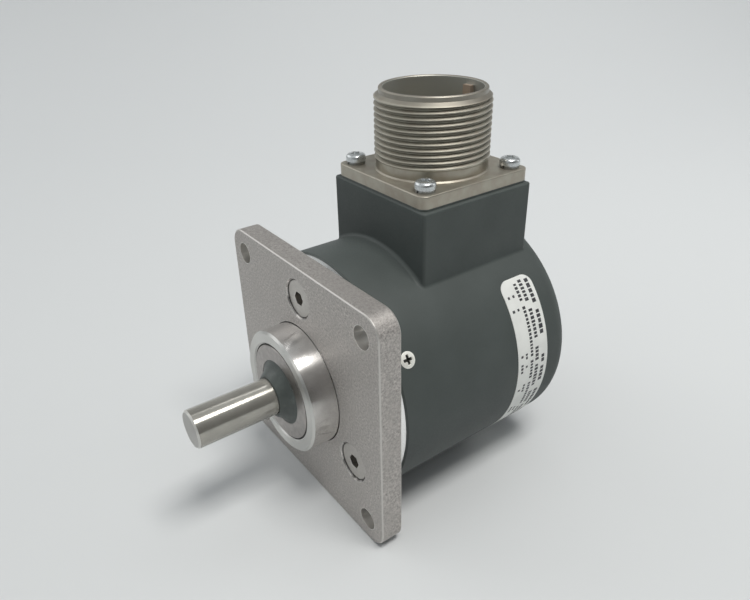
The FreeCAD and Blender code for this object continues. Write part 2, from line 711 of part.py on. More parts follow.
def cover():
    """Cast cover: a closed drum with a square tower for the connector."""
    drum = cylinder_y(COVER_R, COVER_FRONT, COVER_REAR)
    rear_edge = [e for e in drum.Edges
                 if e.BoundBox.YMin > COVER_REAR - 0.01]
    drum = drum.makeFillet(COVER_REAR_FILLET, rear_edge)
    front_edge = [e for e in drum.Edges if e.BoundBox.YMax < COVER_FRONT + 0.01]
    drum = drum.makeChamfer(COVER_LIP_CHAMFER, front_edge)
    tower_y = (TOWER_FRONT + TOWER_REAR) / 2
    tower_half_y = (TOWER_REAR - TOWER_FRONT) / 2
    tower = rounded_square(TOWER_HALF_X, tower_half_y, TOWER_EDGE_R, 0, TOWER_TOP, tower_y)
    top_edges = [e for e in tower.Edges if e.BoundBox.ZMin > TOWER_TOP - 0.01]
    tower = tower.makeFillet(0.5, top_edges)
    body = drum.fuse(tower).removeSplitter()
    body = body.makeFillet(TOWER_BASE_FILLET, tower_seam(body))
    inner_r = COVER_R - COVER_WALL
    cavity = cylinder_y(inner_r, COVER_FRONT - 1, COVER_REAR - COVER_WALL)
    cavity_rear = [e for e in cavity.Edges
                   if e.BoundBox.YMin > COVER_REAR - COVER_WALL - 0.01]
    cavity = cavity.makeFillet(COVER_REAR_FILLET - COVER_WALL, cavity_rear)
    body = body.cut(cavity)
    body = body.cut(cylinder_z(TOWER_BORE_R, 0, TOWER_TOP + 1, 0, CONN_Y))
    for x, y in connector_corners():
        body = body.cut(cylinder_z(CONN_SCREW_R, TOWER_TOP - 8, TOWER_TOP + 1, x, y))
    for degrees in COVER_SCREW_ANGLES:
        body = body.cut(outward(cover_screw_sink(), degrees, COVER_SCREW_Y))
    return body


def tower_seam(body):
    """Edges where the tower meets the drum."""
    lowest = math.sqrt(COVER_R ** 2 - TOWER_HALF_X ** 2) - 0.01
    seam = []
    for edge in body.Edges:
        span = edge.BoundBox
        inside = span.YMin > TOWER_FRONT - 0.01 and span.YMax < TOWER_REAR + 0.01
        if inside and span.ZMin > lowest and span.ZMax < COVER_R + 0.01:
            seam.append(edge)
    return seam


def cover_screw_sink():
    slope = math.tan(math.radians(CSK_HALF_ANGLE))
    wide = COVER_SCREW_HEAD_R + 1.0
    cone = Part.makeCone(0, wide, wide / slope,
                         vec(0, 0, COVER_R - COVER_SCREW_HEAD_R / slope))
    return cone.fuse(Part.makeCylinder(COVER_SCREW_R + 0.1, 6, vec(0, 0, COVER_R - 5)))


def cover_screws():
    """Oval-head Phillips screws through the cover into the housing."""
    slope = math.tan(math.radians(CSK_HALF_ANGLE))
    cone_deep = (COVER_SCREW_HEAD_R - COVER_SCREW_R) / slope
    head = Part.makeCone(COVER_SCREW_R, COVER_SCREW_HEAD_R, cone_deep,
                         vec(0, 0, COVER_R - cone_deep))
    crown = 0.25
    crown_r = (COVER_SCREW_HEAD_R ** 2 + crown ** 2) / (2 * crown)
    cap = Part.makeCylinder(COVER_SCREW_HEAD_R, 1, vec(0, 0, COVER_R)).common(
        Part.makeSphere(crown_r, vec(0, 0, COVER_R + crown - crown_r)))
    screw = head.fuse([cap, Part.makeCylinder(COVER_SCREW_R, 5.5, vec(0, 0, COVER_R - 6))])
    screw = screw.removeSplitter()
    screw = screw.cut(cross_recess(COVER_SCREW_HEAD_R * 0.66, 1.2, COVER_R + crown))
    return group([outward(screw, degrees, COVER_SCREW_Y) for degrees in COVER_SCREW_ANGLES])


def ring_sector(inner_r, outer_r, start, end, first_angle, last_angle):
    """Part of a tube round the shaft axis, between two angles."""
    corners = [vec(inner_r, start, 0), vec(outer_r, start, 0), vec(outer_r, end, 0),
               vec(inner_r, end, 0)]
    face = Part.Face(Part.makePolygon(corners + corners[:1]))
    face.rotate(vec(0, 0, 0), Y, -first_angle)
    return face.revolve(vec(0, 0, 0), Y, first_angle - last_angle)


def label():
    """Thin wrap-round label with rounded corners."""
    outer_r = COVER_R + LABEL_THICK
    corner_angle = math.degrees(LABEL_CORNER_R / outer_r)
    top = LABEL_TOP_ANGLE
    end = LABEL_END_ANGLE
    tall = ring_sector(COVER_R, outer_r, LABEL_FRONT, LABEL_REAR, top - corner_angle,
                       end + corner_angle)
    long = ring_sector(COVER_R, outer_r, LABEL_FRONT + LABEL_CORNER_R,
                       LABEL_REAR - LABEL_CORNER_R, top, end)
    sheet = tall.fuse(long)
    sleeve = cylinder_y(outer_r, LABEL_FRONT, LABEL_REAR)
    sleeve = sleeve.cut(cylinder_y(COVER_R, LABEL_FRONT - 1, LABEL_REAR + 1))
    peg = Part.makeCylinder(LABEL_CORNER_R, 4, vec(0, 0, COVER_R - 2))
    for degrees in (top - corner_angle, end + corner_angle):
        for y in (LABEL_FRONT + LABEL_CORNER_R, LABEL_REAR - LABEL_CORNER_R):
            sheet = sheet.fuse(outward(peg, degrees, y).common(sleeve))
    return sheet.removeSplitter()


# ---------------------------------------------------------------- connector

def connector_gasket():
    sheet = rounded_square(CONN_FLANGE_HALF, CONN_FLANGE_HALF, CONN_CORNER_R, TOWER_TOP,
                           FLANGE_BOTTOM_Z, CONN_Y)
    sheet = sheet.cut(cylinder_z(TOWER_BORE_R, TOWER_TOP - 1, FLANGE_BOTTOM_Z + 1, 0, CONN_Y))
    for x, y in connector_corners():
        sheet = sheet.cut(cylinder_z(CONN_HOLE_R, TOWER_TOP - 1, FLANGE_BOTTOM_Z + 1, x, y))
    return sheet


def thread_cutter():
    """Helical groove of the coupling thread; both of its ends face away from the shaft's tip."""
    root_r = THREAD_R - THREAD_DEPTH
    over = 0.08
    root_width = THREAD_PITCH * 0.10
    flank = (THREAD_PITCH * 0.88 - root_width) / 2 / THREAD_DEPTH
    crest_width = root_width + 2 * flank * (THREAD_DEPTH + over)
    corners = [vec(root_r, 0, -root_width / 2), vec(THREAD_R + over, 0, -crest_width / 2),
               vec(THREAD_R + over, 0, crest_width / 2), vec(root_r, 0, root_width / 2)]
    helix = Part.makeHelix(THREAD_PITCH, THREAD_PITCH * THREAD_TURNS, root_r)
    tooth = Part.makePolygon(corners + corners[:1])
    cutter = Part.Wire(helix).makePipeShell([tooth], True, True)
    cutter.rotate(vec(0, 0, 0), Z, THREAD_START_ANGLE)
    cutter.translate(vec(0, CONN_Y, THREAD_BOTTOM_Z))
    return cutter


def connector_shell():
    """Box-mounting receptacle: square flange, threaded barrel and a key inside its mouth."""
    barrel = turned_z([
        (CONN_BORE_R, CONN_REAR_Z), (CONN_REAR_R, CONN_REAR_Z), (CONN_REAR_R, FLANGE_BOTTOM_Z),
        (CONN_BASE_R + CONN_BASE_FLARE, FLANGE_BOTTOM_Z),
        (CONN_BASE_R + CONN_BASE_FLARE, FLANGE_TOP_Z),
        (CONN_BASE_R, FLANGE_TOP_Z + CONN_BASE_FLARE),
        (CONN_BASE_R, THREAD_BOTTOM_Z - 0.5), (THREAD_R, THREAD_BOTTOM_Z - 0.2),
        (THREAD_R, THREAD_NOSE_Z - THREAD_NOSE_HIGH), (RIM_R, THREAD_NOSE_Z),
        (RIM_R, RIM_Z - 0.25), (RIM_R - 0.25, RIM_Z),
        (CONN_BORE_R + 0.25, RIM_Z), (CONN_BORE_R, RIM_Z - 0.25)])
    barrel = barrel.cut(thread_cutter())
    plate = rounded_square(CONN_FLANGE_HALF, CONN_FLANGE_HALF, CONN_CORNER_R, FLANGE_BOTTOM_Z,
                           FLANGE_TOP_Z, CONN_Y)
    top_edges = [e for e in plate.Edges if e.BoundBox.ZMin > FLANGE_TOP_Z - 0.01]
    plate = plate.makeFillet(0.35, top_edges)
    plate = plate.cut(cylinder_z(CONN_BASE_R - 0.5, FLANGE_BOTTOM_Z - 1, FLANGE_TOP_Z + 1,
                                 0, CONN_Y))
    for x, y in connector_corners():
        plate = plate.cut(cylinder_z(CONN_HOLE_R, FLANGE_BOTTOM_Z - 1, FLANGE_TOP_Z + 1, x, y))
    key_y = CONN_Y + CONN_BORE_R
    key = box((-KEY_WIDTH / 2, KEY_WIDTH / 2), (key_y - KEY_HEIGHT, key_y + 0.4),
              (INSERT_TOP_Z, RIM_Z - 1.5))
    return barrel.fuse([plate, key]).removeSplitter()


def pin_places():
    """X and Y of every contact: a ring of pins and two inside it."""
    places = []
    for i in range(OUTER_PIN_COUNT):
        angle = math.radians(22.5 + 360 * i / OUTER_PIN_COUNT)
        places.append((OUTER_PIN_CIRCLE_R * math.cos(angle),
                       CONN_Y + OUTER_PIN_CIRCLE_R * math.sin(angle)))
    places.append((-INNER_PIN_OFFSET, CONN_Y))
    places.append((INNER_PIN_OFFSET, CONN_Y))
    return places


def connector_insert():
    """Insulating insert that holds the contacts."""
    edge = 0.3
    insert = turned_z([(0, INSERT_BOTTOM_Z), (CONN_BORE_R - edge, INSERT_BOTTOM_Z),
                       (CONN_BORE_R, INSERT_BOTTOM_Z + edge), (CONN_BORE_R, INSERT_TOP_Z - edge),
                       (CONN_BORE_R - edge, INSERT_TOP_Z), (0, INSERT_TOP_Z)])
    for x, y in pin_places():
        insert = insert.cut(cylinder_z(PIN_R, INSERT_BOTTOM_Z - 1, INSERT_TOP_Z + 1, x, y))
    return insert


def connector_pins():
    """Contacts: a round-tipped pin above and a solder cup below the insert."""
    pins = []
    for x, y in pin_places():
        pin = cylinder_z(PIN_R, INSERT_BOTTOM_Z, PIN_TIP_Z - PIN_R, x, y)
        pin = pin.fuse(Part.makeSphere(PIN_R, vec(x, y, PIN_TIP_Z - PIN_R)))
        cup = cylinder_z(PIN_CUP_R, PIN_CUP_Z, INSERT_BOTTOM_Z, x, y)
        cup = cup.cut(cylinder_z(PIN_CUP_BORE_R, PIN_CUP_Z - 1, PIN_CUP_Z + 2, x, y))
        pins.append(pin.fuse(cup))
    return group(pins)


def connector_screws():
    seat = FLANGE_TOP_Z + WASHER_THICK
    screws = []
    for x, y in connector_corners():
        screw = pan_screw(CONN_SCREW_HEAD_R, CONN_SCREW_HEAD_HIGH, CONN_SCREW_R, 9.5)
        screw.translate(vec(x, y, seat))
        screws.append(screw)
    return group(screws)


def lock_washers():
    """Split spring washers under the connector screws."""
    washers = []
    for x, y in connector_corners():
        washer = cylinder_z(WASHER_R, FLANGE_TOP_Z, FLANGE_TOP_Z + WASHER_THICK, x, y)
        washer = washer.cut(cylinder_z(CONN_SCREW_R + 0.08, FLANGE_TOP_Z - 1, FLANGE_TOP_Z + 2,
                                       x, y))
        split = box((-0.2, 0.2), (-WASHER_R - 1, 0), (-1, 2))
        split.rotate(vec(0, 0, 0), Y, 20)
        split.translate(vec(x, y, FLANGE_TOP_Z))
        washers.append(washer.cut(split))
    return group(washers)


def wire_path(corners, radius):
    """Insulated wire along straight runs, with round elbows."""
    wire = Part.makeSphere(radius, corners[0])
    for start, end in zip(corners, corners[1:]):
        run = end.sub(start)
        wire = wire.fuse(Part.makeCylinder(radius, run.Length, start, run))
        wire = wire.fuse(Part.makeSphere(radius, end))
    return wire


def signal_wires():
    """Wires from the rear board, up the tower and into the solder cups."""
    rise_y = DRIVER_BOARD_Y - 2.6
    board_z = 19.5
    side_step = 0.9
    wires = []
    for x, y in pin_places()[:OUTER_PIN_COUNT]:
        far = y < CONN_Y
        rise_x = x + (side_step if far else -side_step)
        level = 30.3 if far else 31.8
        wires.append(wire_path([
            vec(rise_x, DRIVER_BOARD_Y - WIRE_R, board_z), vec(rise_x, rise_y, board_z),
            vec(rise_x, rise_y, level), vec(x, y, level), vec(x, y, PIN_CUP_Z + 1.2)], WIRE_R))
    return group(wires)


# ---------------------------------------------------------------- write the nodes

def main():
    nodes = {
        "flange_plate": flange_plate(),
        "flange_screws": flange_screws(),
        "bearing_housing": bearing_housing(),
        "cover_oring": cover_oring(),
        "shaft": shaft(),
        "seal_case": seal_case(),
        "seal_lip": seal_lip(),
        "seal_spring": seal_spring(),
        "wave_spring": wave_spring(),
        "bearing_retaining_ring": retaining_ring(),
        "disc_hub": disc_hub(),
        "hub_set_screws": hub_set_screws(),
        "code_disc": code_disc(),
        "light_holder": light_holder(),
        "light_holder_screws": light_holder_screws(),
        "led_emitter": led(),
        "photodetector": photodetector(),
        "phase_mask": phase_mask(),
        "sensor_board": round_board(SENSOR_BOARD_Y),
        "sensor_board_parts": sensor_board_parts(),
        "driver_board": round_board(DRIVER_BOARD_Y),
        "driver_board_parts": driver_board_parts(),
        "board_link_header": board_link_header(),
        "board_standoffs": board_standoffs(),
        "board_spacers": board_spacers(),
        "board_screws": board_screws(),
        "cover": cover(),
        "cover_screws": cover_screws(),
        "label": label(),
        "connector_gasket": connector_gasket(),
        "connector_shell": connector_shell(),
        "connector_insert": connector_insert(),
        "connector_pins": connector_pins(),
        "connector_screws": connector_screws(),
        "lock_washers": lock_washers(),
        "signal_wires": signal_wires(),
    }
    for place, front in (("front", FRONT_BEARING_Y), ("rear", REAR_BEARING_Y)):
        nodes[place + "_bearing_outer_ring"] = outer_ring(front)
        nodes[place + "_bearing_inner_ring"] = inner_ring(front)
        nodes[place + "_bearing_balls"] = balls(front)
        nodes[place + "_bearing_cage"] = ball_cage(front)
        nodes[place + "_bearing_shields"] = bearing_shields(front)
    os.makedirs("parts", exist_ok=True)
    for name, shape in nodes.items():
        shape.exportStep("parts/" + name + ".step")
        solids = len(shape.Solids)
        print(name, "solids", solids, "valid", shape.isValid(), "volume", round(shape.Volume, 1))


main()
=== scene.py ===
import math
import random

import bpy
from mathutils import Matrix, Vector


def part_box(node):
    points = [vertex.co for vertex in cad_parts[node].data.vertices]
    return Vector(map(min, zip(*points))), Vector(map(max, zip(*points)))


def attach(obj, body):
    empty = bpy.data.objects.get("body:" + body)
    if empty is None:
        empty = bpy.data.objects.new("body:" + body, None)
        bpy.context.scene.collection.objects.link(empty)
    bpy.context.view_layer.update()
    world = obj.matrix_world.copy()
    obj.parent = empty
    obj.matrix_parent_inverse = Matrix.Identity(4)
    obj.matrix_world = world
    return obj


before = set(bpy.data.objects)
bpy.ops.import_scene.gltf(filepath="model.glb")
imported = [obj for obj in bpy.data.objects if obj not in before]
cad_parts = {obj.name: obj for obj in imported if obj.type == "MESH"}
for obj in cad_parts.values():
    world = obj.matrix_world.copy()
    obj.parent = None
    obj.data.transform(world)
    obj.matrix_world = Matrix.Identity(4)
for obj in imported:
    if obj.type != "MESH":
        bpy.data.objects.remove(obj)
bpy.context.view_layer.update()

MM = 0.001

# Reference places in metres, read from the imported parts
SHELL_LOW, SHELL_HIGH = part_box("connector_shell")
LABEL_LOW, LABEL_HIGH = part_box("label")
CONNECTOR_Y = (SHELL_LOW.y + SHELL_HIGH.y) / 2
FLOOR_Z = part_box("flange_plate")[0].z

# Flange and front of the housing, in millimetres
FLANGE_SCREW_CIRCLE_R = 23.81
FLANGE_SCREW_PLACES = [(FLANGE_SCREW_CIRCLE_R * math.cos(math.radians(a)), 0.0,
                        FLANGE_SCREW_CIRCLE_R * math.sin(math.radians(a))) for a in (90, 210, 330)]
COUNTERSINK_R = 5.18           # close to the countersink's mouth
SCREW_GAP_R = 4.92             # outer end of the painted shade in the gap round the screw's head
MOUNT_HOLE_OFFSET = 26.185     # half the side of the square of holes
MOUNT_HOLE_PLACES = [(x, 0.0, z) for x in (-MOUNT_HOLE_OFFSET, MOUNT_HOLE_OFFSET)
                     for z in (-MOUNT_HOLE_OFFSET, MOUNT_HOLE_OFFSET)]
MOUNT_HOLE_R = 2.9             # just past the hole's wall
COLLAR_FRONT = 5.5             # place along Y, with the housing's collar behind it, painted near white as a highlight
SEAL_CASE_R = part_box("seal_case")[1].x / MM
SEAL_SEAM = 0.38               # width of the painted shade in the joint round the seal's case
COVER_SCREW_RECESS_R = 31.7    # distance from the shaft's axis, below which the recess gets painted shade
# Connector, in millimetres, with the heights between which it is threaded
THREAD_LOW, THREAD_HIGH = 50.5, 65.5
THREAD_ROOT_R, THREAD_CREST_R = 13.45, 14.1
BORE_R = 12.06
BORE_MARGIN = 0.1              # takes in the bore's wall, or leaves it out
# Code disc's ring of lines, in front of the detector: radius and width in millimetres, and count
DETECTOR_LOW, DETECTOR_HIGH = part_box("photodetector")
TRACK_R = (DETECTOR_LOW.z + DETECTOR_HIGH.z) / 2 / MM
TRACK_WIDTH = 2.4
CODE_LINES = 500
# Half the width of the row of wires, in millimetres
WIRE_ROW_HALF = 8.5
# How far a face's normal leans along an axis, from 0 on a wall to 1 on a face square to it
FLAT_LEAN = 0.6
SLANT_LEAN_LOW, SLANT_LEAN_HIGH = 0.3, 0.93
# Dot product of the true and the rounded normal, where the edge mask starts and where it is full
EDGE_START, EDGE_FULL = 0.999, 0.93


# ---------------------------------------------------------------- node material helper

class Surface:
    """A procedural material round one Principled shader, measured in millimetres."""

    def __init__(self, name, color, metallic=0.0, roughness=0.5):
        self.material = bpy.data.materials.new(name)
        self.material.use_nodes = True
        self.tree = self.material.node_tree
        self.shader = self.tree.nodes["Principled BSDF"]
        self.shader.inputs["Base Color"].default_value = (*color, 1.0)
        self.shader.inputs["Metallic"].default_value = metallic
        self.shader.inputs["Roughness"].default_value = roughness
        place = self.node("ShaderNodeTexCoord").outputs["Object"]
        self.mm = self.vector("SCALE", place, scale=1 / MM)

    def node(self, kind, **settings):
        made = self.tree.nodes.new(kind)
        for key, value in settings.items():
            setattr(made, key, value)
        return made

    def feed(self, socket, value):
        if isinstance(value, bpy.types.NodeSocket):
            self.tree.links.new(value, socket)
        else:
            socket.default_value = value

    def vector(self, operation, first, second=None, scale=None):
        made = self.node("ShaderNodeVectorMath", operation=operation)
        self.feed(made.inputs[0], first)
        if second is not None:
            self.feed(made.inputs[1], second)
        if scale is not None:
            self.feed(made.inputs["Scale"], scale)
        return made.outputs["Value" if operation == "LENGTH" else "Vector"]

    def math(self, operation, first, second=0.0, clamp=False):
        made = self.node("ShaderNodeMath", operation=operation, use_clamp=clamp)
        self.feed(made.inputs[0], first)
        self.feed(made.inputs[1], second)
        return made.outputs[0]

    def noise(self, scale, detail=2.0, where=None, roughness=0.5):
        """Noise from 0 to 1, with scale features per millimetre."""
        made = self.node("ShaderNodeTexNoise")
        made.inputs["Scale"].default_value = scale
        made.inputs["Detail"].default_value = detail
        made.inputs["Roughness"].default_value = roughness
        self.feed(made.inputs["Vector"], where or self.mm)
        return made.outputs["Fac"]

    def spread(self, value, low, high, to_low, to_high):
        """Maps low..high to to_low..to_high, held inside them."""
        made = self.node("ShaderNodeMapRange", clamp=True)
        for socket, number in zip(made.inputs[:5], (value, low, high, to_low, to_high)):
            self.feed(socket, number)
        return made.outputs[0]

    def tint(self, factor, first, second):
        """Colour that goes from first to second as factor goes from 0 to 1."""
        made = self.node("ShaderNodeMix", data_type="RGBA")
        self.feed(made.inputs[0], factor)
        self.feed(made.inputs[6], (*first, 1.0) if isinstance(first, tuple) else first)
        self.feed(made.inputs[7], (*second, 1.0) if isinstance(second, tuple) else second)
        return made.outputs[2]

    def parts(self, vector):
        split = self.node("ShaderNodeSeparateXYZ")
        self.feed(split.inputs[0], vector)
        return split.outputs

    def radius(self, along, centre_y=0.0):
        """Distance from the shaft's axis (Y) or the connector's axis (Z)."""
        across = (1.0, 0.0, 1.0) if along == "Y" else (1.0, 1.0, 0.0)
        offset = self.vector("SUBTRACT", self.mm, (0.0, centre_y / MM, 0.0))
        return self.vector("LENGTH", self.vector("MULTIPLY", offset, across))

    def flat(self, along):
        """1 on faces square to an axis, 0 on the walls round it."""
        normal = self.node("ShaderNodeNewGeometry").outputs["Normal"]
        lean = self.math("ABSOLUTE", self.parts(normal)[along])
        return self.math("GREATER_THAN", lean, FLAT_LEAN)

    def rings(self, along, centre_y=0.0, grain=6.0):
        """Tool marks round an axis: by height on round walls and by radius on flat ends."""
        flat = self.flat(along)
        height = self.parts(self.mm)[along]
        join = self.node("ShaderNodeCombineXYZ")
        self.feed(join.inputs[0], self.math("MULTIPLY", self.radius(along, centre_y), flat))
        self.feed(join.inputs[1], self.math("MULTIPLY", height, self.math("SUBTRACT", 1.0, flat)))
        return self.noise(grain, 3.0, join.outputs[0], 0.6)

    def near(self, places, radius):
        """1 inside a radius round each place on the flange, 0 outside."""
        found = None
        for place in places:
            offset = self.vector("SUBTRACT", self.mm, place)
            away = self.vector("LENGTH", self.vector("MULTIPLY", offset, (1.0, 0.0, 1.0)))
            inside = self.math("LESS_THAN", away, radius)
            found = inside if found is None else self.math("MAXIMUM", found, inside)
        return found

    def slanted(self, along):
        """1 on rounded and chamfered edges between the ends and the walls, 0 elsewhere."""
        normal = self.node("ShaderNodeNewGeometry").outputs["Normal"]
        lean = self.math("ABSOLUTE", self.parts(normal)[along])
        return self.math("MULTIPLY", self.math("GREATER_THAN", lean, SLANT_LEAN_LOW),
                         self.math("LESS_THAN", lean, SLANT_LEAN_HIGH))

    def tint_value(self, factor, first, second):
        """Number that goes from first to second as factor goes from 0 to 1."""
        made = self.node("ShaderNodeMix", data_type="FLOAT")
        for socket, value in zip(made.inputs[:1] + made.inputs[2:4], (factor, first, second)):
            self.feed(socket, value)
        return made.outputs[0]

    def edge_mask(self, radius_mm):
        """0 on flat faces and up to 1 along outer and inner edges."""
        bevel = self.node("ShaderNodeBevel", samples=4)
        bevel.inputs["Radius"].default_value = radius_mm * MM
        normal = self.node("ShaderNodeNewGeometry").outputs["Normal"]
        made = self.node("ShaderNodeVectorMath", operation="DOT_PRODUCT")
        self.feed(made.inputs[0], bevel.outputs[0])
        self.feed(made.inputs[1], normal)
        return self.spread(made.outputs["Value"], EDGE_START, EDGE_FULL, 0.0, 1.0)

    def bump(self, height, strength, depth_mm, below=None):
        made = self.node("ShaderNodeBump")
        made.inputs["Strength"].default_value = strength
        made.inputs["Distance"].default_value = depth_mm * MM
        self.feed(made.inputs["Height"], height)
        if below is not None:
            self.feed(made.inputs["Normal"], below)
        self.feed(self.shader.inputs["Normal"], made.outputs[0])
        return made.outputs[0]

    def paint(self, color):
        self.feed(self.shader.inputs["Base Color"], color)

    def rough(self, value):
        self.feed(self.shader.inputs["Roughness"], value)

    def turned(self, along, amount):
        """Highlight stretched by the tool marks that run round an axis."""
        self.shader.inputs["Anisotropic"].default_value = amount
        self.shader.inputs["Anisotropic Rotation"].default_value = 0.25
        tangent = self.node("ShaderNodeTangent", direction_type="RADIAL", axis=along)
        self.feed(self.shader.inputs["Tangent"], tangent.outputs[0])


def shaded(color, factor):
    return tuple(channel * factor for channel in color)


# ---------------------------------------------------------------- materials

def tumbled_aluminium():
    """Vibratory-finished plate: fine grain and cloudy patches, edges lighter partly from wear and
    partly as a painted highlight, painted shade on faces square to Z and round the screw heads, and
    painted light on the walls of the mounting holes.
    """
    base = (0.56, 0.53, 0.505)
    s = Surface("tumbled_aluminium", base, 0.8, 0.42)
    grain = s.noise(1.9, 6.0, roughness=0.82)
    clouds = s.noise(0.16, 4.0)
    color = s.tint(s.spread(grain, 0.36, 0.66, 0.0, 1.0), shaded(base, 0.52), shaded(base, 1.32))
    color = s.tint(s.spread(clouds, 0.35, 0.65, 0.0, 0.5), color, shaded(base, 0.82))
    turned = s.near(FLANGE_SCREW_PLACES, COUNTERSINK_R)
    # Mounting-hole walls: smoother where drilled, and painted lighter as painted light
    drilled_walls_painted_light = s.near(MOUNT_HOLE_PLACES, MOUNT_HOLE_R)
    # Painted highlight on the rounded edges of the front face, outside the countersinks
    edge_highlight = s.math("MULTIPLY", s.slanted("Y"), s.math("SUBTRACT", 1.0, turned))
    # Painted shade: faces square to Z, top and bottom, are darker
    color = s.tint(s.math("MULTIPLY", s.flat("Z"), 0.35), color, shaded(base, 0.45))
    # Lighter edges: partly wear, partly a painted highlight
    color = s.tint(s.math("MULTIPLY", s.edge_mask(0.35), 0.5), color, (0.74, 0.73, 0.71))
    # Painted shade in the countersink round each screw head
    color = s.tint(s.near(FLANGE_SCREW_PLACES, SCREW_GAP_R), color, shaded(base, 0.18))
    # Painted highlight: the rounded edges are lighter
    color = s.tint(edge_highlight, color, (0.60, 0.58, 0.55))
    # Painted light: the mounting holes' walls are lighter
    s.paint(s.tint(drilled_walls_painted_light, color, (0.72, 0.70, 0.67)))
    rough = s.tint_value(turned, s.spread(grain, 0.3, 0.75, 0.66, 0.50), 0.22)
    s.rough(s.tint_value(drilled_walls_painted_light, s.tint_value(edge_highlight, rough, 0.38), 0.28))
    s.bump(s.math("MULTIPLY", grain, s.math("SUBTRACT", 1.0, turned)), 0.7, 0.05)
    return s.material


def turned_aluminium():
    """Bright lathe-turned housing with fine feed lines and a painted highlight on its collar."""
    base = (0.86, 0.84, 0.82)
    s = Surface("turned_aluminium", base, 1.0, 0.2)
    lines = s.rings("Y", grain=9.0)
    color = s.tint(s.spread(s.noise(0.5, 3.0), 0.35, 0.7, 0.0, 1.0), shaded(base, 0.90), base)
    color = s.tint(s.flat("Y"), color, (0.64, 0.635, 0.61))
    # Painted highlight: the collar behind COLLAR_FRONT is near white
    collar = s.math("GREATER_THAN", s.parts(s.mm)["Y"], COLLAR_FRONT)
    s.paint(s.tint(collar, color, (0.97, 0.965, 0.95)))
    s.rough(s.tint_value(s.flat("Y"), s.spread(lines, 0.3, 0.7, 0.20, 0.28), 0.42))
    s.bump(lines, 0.06, 0.004)
    s.turned("Y", 0.85)
    return s.material


def powder_coat():
    """Satin black coat over the casting: fine orange peel and slight haze."""
    base = (0.064, 0.075, 0.072)
    s = Surface("powder_coat", base, 0.0, 0.55)
    peel = s.noise(2.6, 3.0)
    haze = s.noise(0.10, 3.0)
    color = s.tint(s.spread(haze, 0.3, 0.7, 0.0, 1.0), shaded(base, 0.95), shaded(base, 1.12))
    color = s.tint(s.math("MULTIPLY", s.edge_mask(0.5), 0.2), color, (0.10, 0.105, 0.10))
    s.paint(color)
    s.rough(s.spread(peel, 0.3, 0.7, 0.50, 0.62))
    s.shader.inputs["Specular IOR Level"].default_value = 0.35
    s.bump(peel, 0.25, 0.02)
    return s.material


def ground_steel():
    """Ground and polished shaft: hairline rings, a tight highlight, and a painted highlight on its
    chamfers.
    """
    base = (0.43, 0.415, 0.375)
    s = Surface("ground_steel", base, 0.65, 0.17)
    lines = s.rings("Y", grain=14.0)
    color = s.tint(s.spread(s.noise(0.3, 2.0), 0.35, 0.65, 0.0, 1.0), shaded(base, 0.9), base)
    color = s.tint(s.flat("Y"), color, (0.40, 0.39, 0.37))
    # Painted highlight: the chamfers are lighter
    s.paint(s.tint(s.slanted("Y"), color, (0.66, 0.65, 0.62)))
    s.rough(s.tint_value(s.flat("Y"), s.spread(lines, 0.3, 0.7, 0.13, 0.20), 0.38))
    s.bump(lines, 0.06, 0.003)
    s.turned("Y", 0.3)
    return s.material


def pressed_steel():
    """Dull sheet of the seal's case, with painted shade in the joint at its rim."""
    base = (0.39, 0.365, 0.35)
    s = Surface("pressed_steel", base, 1.0, 0.34)
    cloud = s.noise(0.9, 4.0)
    lines = s.rings("Y", grain=5.0)
    color = s.tint(s.spread(cloud, 0.35, 0.7, 0.0, 1.0), shaded(base, 0.86), shaded(base, 1.08))
    # Painted shade in the joint round the rim of the seal's case
    joint_shade = s.math("GREATER_THAN", s.radius("Y"), SEAL_CASE_R - SEAL_SEAM)
    s.paint(s.tint(joint_shade, color, shaded(base, 0.12)))
    s.rough(s.spread(lines, 0.3, 0.7, 0.28, 0.42))
    s.bump(lines, 0.2, 0.01)
    return s.material


def moulded_rubber():
    """Matt dark rubber with a little dust."""
    base = (0.066, 0.077, 0.072)
    s = Surface("moulded_rubber", base, 0.0, 0.4)
    skin = s.noise(4.0, 3.0)
    dust = s.noise(0.6, 4.0)
    s.paint(s.tint(s.spread(dust, 0.5, 0.8, 0.0, 1.0), base, shaded(base, 1.5)))
    s.rough(s.spread(skin, 0.3, 0.7, 0.34, 0.48))
    s.bump(skin, 0.2, 0.015)
    return s.material


